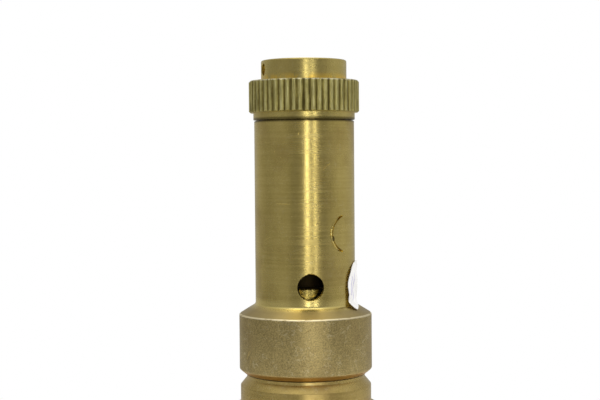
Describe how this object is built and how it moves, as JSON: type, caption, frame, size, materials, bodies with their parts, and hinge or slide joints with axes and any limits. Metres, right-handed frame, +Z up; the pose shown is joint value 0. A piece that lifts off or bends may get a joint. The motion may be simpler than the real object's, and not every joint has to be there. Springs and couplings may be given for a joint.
{
  "type": "pressure relief valve",
  "caption": "Free-blowing brass pressure relief valve with a knurled lifting cap, blow-off holes, hexagon and male pipe-thread inlet.",
  "frame": {"origin": "centre of the sealing shoulder above the inlet thread", "axes": "+Z up the valve's axis from the inlet to the lifting cap, -Y out through the first blow-off hole"},
  "size_m": [0.0416, 0.036, 0.1148],
  "materials": {
    "body_brass": "turned, slightly dull",
    "housing_brass": "turned, worn satin",
    "cap_brass": "turned and straight-knurled",
    "disc_brass": "turned bright",
    "plate_brass": "turned",
    "adjuster_brass": "turned",
    "bush_bronze": "sintered bronze",
    "joint_copper": "soft copper",
    "seat_steel": "lapped",
    "inner_steel": "machined",
    "spindle_steel": "ground",
    "nut_steel": "machined",
    "ball_steel": "polished",
    "spring_steel": "drawn wire",
    "soft_seal": "matt",
    "facing_rubber": "matt",
    "label_paper": "paper, matt"
  },
  "bodies": {
    "housing": {"inlet_body": "body_brass", "inlet_seal_ring": "soft_seal", "seat_ring": "seat_steel", "body_joint_washer": "joint_copper", "spring_housing": "housing_brass", "guide_bush": "bush_bronze", "adjuster_lock_nut": "adjuster_brass", "pressure_spring": "spring_steel", "inspection_label": "label_paper"},
    "spring_seat": {"upper_spring_plate": "plate_brass"},
    "adjuster": {"adjusting_screw": "adjuster_brass"},
    "cap_washer": {"slip_washer": "inner_steel"},
    "cap": {"lifting_cap": "cap_brass"},
    "plunger": {"spindle": "spindle_steel", "spindle_nut": "nut_steel", "nut_lock_pin": "inner_steel", "lower_spring_plate": "plate_brass", "valve_disc": "disc_brass", "disc_seal": "facing_rubber", "seal_washer": "inner_steel", "seal_screw": "inner_steel", "thrust_ball": "ball_steel", "spindle_snap_ring": "spring_steel"}
  },
  "joints": [
    {"name": "adjuster_travel", "type": "slide", "parent": "housing", "child": "spring_seat", "axis": [0, 0, 1], "range_m": [-0.0015, 0.00025], "deforming": ["pressure_spring"]},
    {"name": "adjuster_turn", "type": "hinge", "parent": "spring_seat", "child": "adjuster", "pos_m": [0, 0, 0.0857], "axis": [0, 0, 1], "range_deg": [-360, 60]},
    {"name": "cap_rise", "type": "slide", "parent": "housing", "child": "cap_washer", "axis": [0, 0, 1], "range_m": [0, 0.00187]},
    {"name": "cap_turn", "type": "hinge", "parent": "cap_washer", "child": "cap", "pos_m": [0, 0, 0.09], "axis": [0, 0, 1], "range_deg": [0, 450]},
    {"name": "pop_lift", "type": "slide", "parent": "cap_washer", "child": "plunger", "axis": [0, 0, 1], "range_m": [0, 0.0022], "stiffness_N_per_m": 2000, "springref_m": -0.004, "deforming": ["pressure_spring"]}
  ],
  "couplings": [
    {"joint": "cap_rise", "follows": "cap_turn", "m_per_rad": 0.00023873},
    {"joint": "adjuster_travel", "follows": "adjuster_turn", "m_per_rad": 0.00023873}
  ]
}
